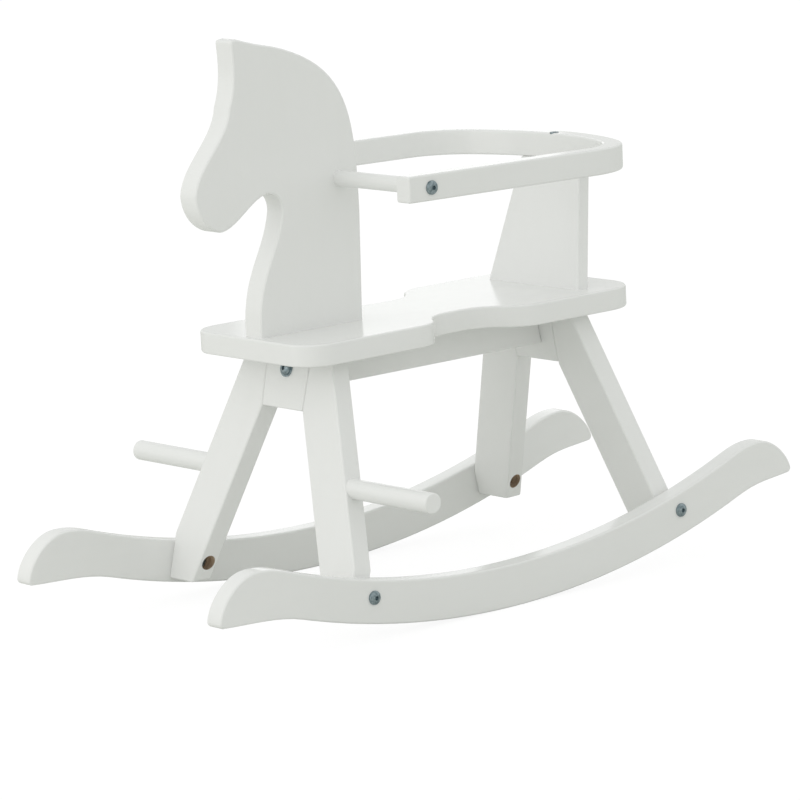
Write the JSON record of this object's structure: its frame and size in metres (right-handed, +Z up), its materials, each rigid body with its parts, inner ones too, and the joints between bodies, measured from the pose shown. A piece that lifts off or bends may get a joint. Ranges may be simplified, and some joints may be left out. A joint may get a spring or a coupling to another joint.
{
  "type": "rocking horse",
  "caption": "Toddler's wooden rocking horse with a flat head on a waisted seat, guard ring, back panel, handle rod, footrests and two rockers.",
  "frame": {"origin": "on the floor, under the middle of the whole object", "axes": "+X to the nose, +Y to the horse's left, +Z up"},
  "size_m": [0.7587, 0.456, 0.574],
  "materials": {
    "white_lacquer": "white semi-gloss lacquer",
    "zinc_steel": "bright zinc",
    "raw_beech": "raw beech"
  },
  "bodies": {
    "root": {"seat_board": "white_lacquer", "head_panel": "white_lacquer", "back_panel": "white_lacquer", "guard_ring": "white_lacquer", "handle_rod": "white_lacquer", "front_block": "white_lacquer", "rear_block": "white_lacquer", "seat_beam": "white_lacquer", "leg_front_left": "white_lacquer", "leg_front_right": "white_lacquer", "leg_rear_left": "white_lacquer", "leg_rear_right": "white_lacquer", "rocker_left": "white_lacquer", "rocker_right": "white_lacquer", "footrest_left": "white_lacquer", "footrest_right": "white_lacquer", "rocker_bolts": "zinc_steel", "rocker_nuts": "zinc_steel", "rocker_nut_washers": "zinc_steel", "beam_bolts": "zinc_steel", "beam_bolt_washers": "zinc_steel", "beam_barrel_nuts": "zinc_steel", "ring_arm_bolts": "zinc_steel", "rod_inserts": "zinc_steel", "ring_screw": "zinc_steel", "head_screws": "zinc_steel", "panel_screws": "zinc_steel", "seat_screws": "zinc_steel", "rocker_dowels": "raw_beech", "ring_dowels": "raw_beech", "head_dowels": "raw_beech", "panel_dowels": "raw_beech", "seat_dowels": "raw_beech", "leg_dowels": "raw_beech"}
  },
  "joints": []
}
